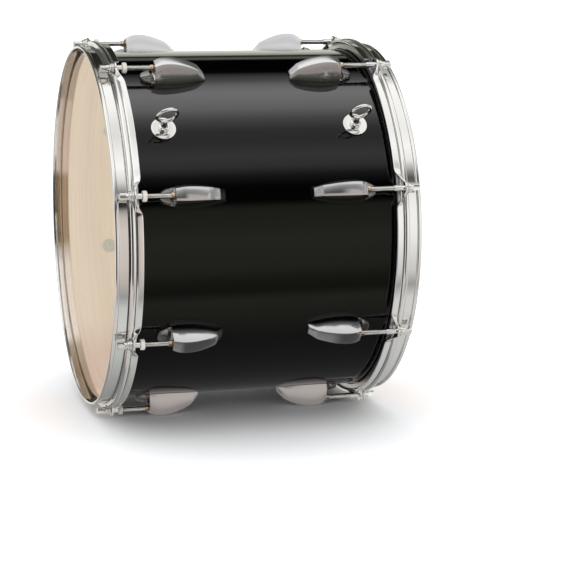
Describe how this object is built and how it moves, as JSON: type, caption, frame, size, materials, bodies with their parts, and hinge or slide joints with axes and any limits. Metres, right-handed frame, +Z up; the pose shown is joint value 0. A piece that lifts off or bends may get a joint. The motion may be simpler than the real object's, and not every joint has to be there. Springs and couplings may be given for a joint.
{
  "type": "tenor drum",
  "caption": "Marching tenor drum with clear heads, triple-flanged chrome hoops, tube lugs, tension rods and two carrying eye bolts, lying on its side.",
  "frame": {"origin": "centre of the bounding box at the height of the lowest lugs, on the surface that the drum lies on", "axes": "+Z up, X along the drum axis with the left head towards -X, -Y towards the viewer"},
  "size_m": [0.305, 0.3844, 0.3843],
  "materials": {
    "black_lacquer": "wooden shell, gloss black outside",
    "chrome": "polished chrome",
    "satin_chrome": "chrome-plated die casting",
    "clear_film": "clear polyester film",
    "aluminium": "plain",
    "white_nylon": "white nylon"
  },
  "bodies": {
    "frame": {"shell": "black_lacquer", "left_lug_1": "satin_chrome", "left_lug_2": "satin_chrome", "left_lug_3": "satin_chrome", "left_lug_4": "satin_chrome", "left_lug_5": "satin_chrome", "left_lug_6": "satin_chrome", "left_lug_7": "satin_chrome", "left_lug_8": "satin_chrome", "left_eye_bolt": "chrome", "left_eye_washer": "chrome", "left_eye_nut": "chrome", "right_lug_1": "satin_chrome", "right_lug_2": "satin_chrome", "right_lug_3": "satin_chrome", "right_lug_4": "satin_chrome", "right_lug_5": "satin_chrome", "right_lug_6": "satin_chrome", "right_lug_7": "satin_chrome", "right_lug_8": "satin_chrome", "right_eye_bolt": "chrome", "right_eye_washer": "chrome", "right_eye_nut": "chrome"},
    "left_hoop_and_head": {"left_hoop": "chrome", "left_head": "clear_film", "left_flesh_hoop": "aluminium"},
    "left_tension_rod_1": {"left_rod_1": "chrome", "left_collar_1": "white_nylon"},
    "left_tension_rod_2": {"left_rod_2": "chrome", "left_collar_2": "white_nylon"},
    "left_tension_rod_3": {"left_rod_3": "chrome", "left_collar_3": "white_nylon"},
    "left_tension_rod_4": {"left_rod_4": "chrome", "left_collar_4": "white_nylon"},
    "left_tension_rod_5": {"left_rod_5": "chrome", "left_collar_5": "white_nylon"},
    "left_tension_rod_6": {"left_rod_6": "chrome", "left_collar_6": "white_nylon"},
    "left_tension_rod_7": {"left_rod_7": "chrome", "left_collar_7": "white_nylon"},
    "left_tension_rod_8": {"left_rod_8": "chrome", "left_collar_8": "white_nylon"},
    "right_hoop_and_head": {"right_hoop": "chrome", "right_head": "clear_film", "right_flesh_hoop": "aluminium"},
    "right_tension_rod_1": {"right_rod_1": "chrome"},
    "right_tension_rod_2": {"right_rod_2": "chrome"},
    "right_tension_rod_3": {"right_rod_3": "chrome"},
    "right_tension_rod_4": {"right_rod_4": "chrome"},
    "right_tension_rod_5": {"right_rod_5": "chrome"},
    "right_tension_rod_6": {"right_rod_6": "chrome"},
    "right_tension_rod_7": {"right_rod_7": "chrome"},
    "right_tension_rod_8": {"right_rod_8": "chrome"}
  },
  "joints": [
    {"name": "left_hoop_slide", "type": "slide", "parent": "frame", "child": "left_hoop_and_head", "axis": [-1, 0, 0], "range_m": [0, 0.012]},
    {"name": "left_rod_1_turn", "type": "hinge", "parent": "left_hoop_and_head", "child": "left_tension_rod_1", "pos_m": [-0.1349, 0.0499, 0.37581], "axis": [-1, 0, 0], "range_deg": [-20, 4120]},
    {"name": "left_rod_2_turn", "type": "hinge", "parent": "left_hoop_and_head", "child": "left_tension_rod_2", "pos_m": [-0.1349, 0.16514, 0.28674], "axis": [-1, 0, 0], "range_deg": [-20, 4120]},
    {"name": "left_rod_3_turn", "type": "hinge", "parent": "left_hoop_and_head", "child": "left_tension_rod_3", "pos_m": [-0.1349, 0.18364, 0.14227], "axis": [-1, 0, 0], "range_deg": [-20, 4120]},
    {"name": "left_rod_4_turn", "type": "hinge", "parent": "left_hoop_and_head", "child": "left_tension_rod_4", "pos_m": [-0.1349, 0.09457, 0.02703], "axis": [-1, 0, 0], "range_deg": [-20, 4120]},
    {"name": "left_rod_5_turn", "type": "hinge", "parent": "left_hoop_and_head", "child": "left_tension_rod_5", "pos_m": [-0.1349, -0.0499, 0.00852], "axis": [-1, 0, 0], "range_deg": [-20, 4120]},
    {"name": "left_rod_6_turn", "type": "hinge", "parent": "left_hoop_and_head", "child": "left_tension_rod_6", "pos_m": [-0.1349, -0.16514, 0.09759], "axis": [-1, 0, 0], "range_deg": [-20, 4120]},
    {"name": "left_rod_7_turn", "type": "hinge", "parent": "left_hoop_and_head", "child": "left_tension_rod_7", "pos_m": [-0.1349, -0.18364, 0.24206], "axis": [-1, 0, 0], "range_deg": [-20, 4120]},
    {"name": "left_rod_8_turn", "type": "hinge", "parent": "left_hoop_and_head", "child": "left_tension_rod_8", "pos_m": [-0.1349, -0.09457, 0.3573], "axis": [-1, 0, 0], "range_deg": [-20, 4120]},
    {"name": "right_hoop_slide", "type": "slide", "parent": "frame", "child": "right_hoop_and_head", "axis": [1, 0, 0], "range_m": [0, 0.012]},
    {"name": "right_rod_1_turn", "type": "hinge", "parent": "right_hoop_and_head", "child": "right_tension_rod_1", "pos_m": [0.1349, -0.09457, 0.3573], "axis": [1, 0, 0], "range_deg": [-20, 4120]},
    {"name": "right_rod_2_turn", "type": "hinge", "parent": "right_hoop_and_head", "child": "right_tension_rod_2", "pos_m": [0.1349, -0.18364, 0.24206], "axis": [1, 0, 0], "range_deg": [-20, 4120]},
    {"name": "right_rod_3_turn", "type": "hinge", "parent": "right_hoop_and_head", "child": "right_tension_rod_3", "pos_m": [0.1349, -0.16514, 0.09759], "axis": [1, 0, 0], "range_deg": [-20, 4120]},
    {"name": "right_rod_4_turn", "type": "hinge", "parent": "right_hoop_and_head", "child": "right_tension_rod_4", "pos_m": [0.1349, -0.0499, 0.00852], "axis": [1, 0, 0], "range_deg": [-20, 4120]},
    {"name": "right_rod_5_turn", "type": "hinge", "parent": "right_hoop_and_head", "child": "right_tension_rod_5", "pos_m": [0.1349, 0.09457, 0.02703], "axis": [1, 0, 0], "range_deg": [-20, 4120]},
    {"name": "right_rod_6_turn", "type": "hinge", "parent": "right_hoop_and_head", "child": "right_tension_rod_6", "pos_m": [0.1349, 0.18364, 0.14227], "axis": [1, 0, 0], "range_deg": [-20, 4120]},
    {"name": "right_rod_7_turn", "type": "hinge", "parent": "right_hoop_and_head", "child": "right_tension_rod_7", "pos_m": [0.1349, 0.16514, 0.28674], "axis": [1, 0, 0], "range_deg": [-20, 4120]},
    {"name": "right_rod_8_turn", "type": "hinge", "parent": "right_hoop_and_head", "child": "right_tension_rod_8", "pos_m": [0.1349, 0.0499, 0.37581], "axis": [1, 0, 0], "range_deg": [-20, 4120]}
  ],
  "couplings": [
    {"joint": "left_rod_1_turn", "follows": "left_hoop_slide", "rad_per_m": 5938.7},
    {"joint": "left_rod_2_turn", "follows": "left_hoop_slide", "rad_per_m": 5938.7},
    {"joint": "left_rod_3_turn", "follows": "left_hoop_slide", "rad_per_m": 5938.7},
    {"joint": "left_rod_4_turn", "follows": "left_hoop_slide", "rad_per_m": 5938.7},
    {"joint": "left_rod_5_turn", "follows": "left_hoop_slide", "rad_per_m": 5938.7},
    {"joint": "left_rod_6_turn", "follows": "left_hoop_slide", "rad_per_m": 5938.7},
    {"joint": "left_rod_7_turn", "follows": "left_hoop_slide", "rad_per_m": 5938.7},
    {"joint": "left_rod_8_turn", "follows": "left_hoop_slide", "rad_per_m": 5938.7},
    {"joint": "right_rod_1_turn", "follows": "right_hoop_slide", "rad_per_m": 5938.7},
    {"joint": "right_rod_2_turn", "follows": "right_hoop_slide", "rad_per_m": 5938.7},
    {"joint": "right_rod_3_turn", "follows": "right_hoop_slide", "rad_per_m": 5938.7},
    {"joint": "right_rod_4_turn", "follows": "right_hoop_slide", "rad_per_m": 5938.7},
    {"joint": "right_rod_5_turn", "follows": "right_hoop_slide", "rad_per_m": 5938.7},
    {"joint": "right_rod_6_turn", "follows": "right_hoop_slide", "rad_per_m": 5938.7},
    {"joint": "right_rod_7_turn", "follows": "right_hoop_slide", "rad_per_m": 5938.7},
    {"joint": "right_rod_8_turn", "follows": "right_hoop_slide", "rad_per_m": 5938.7}
  ]
}
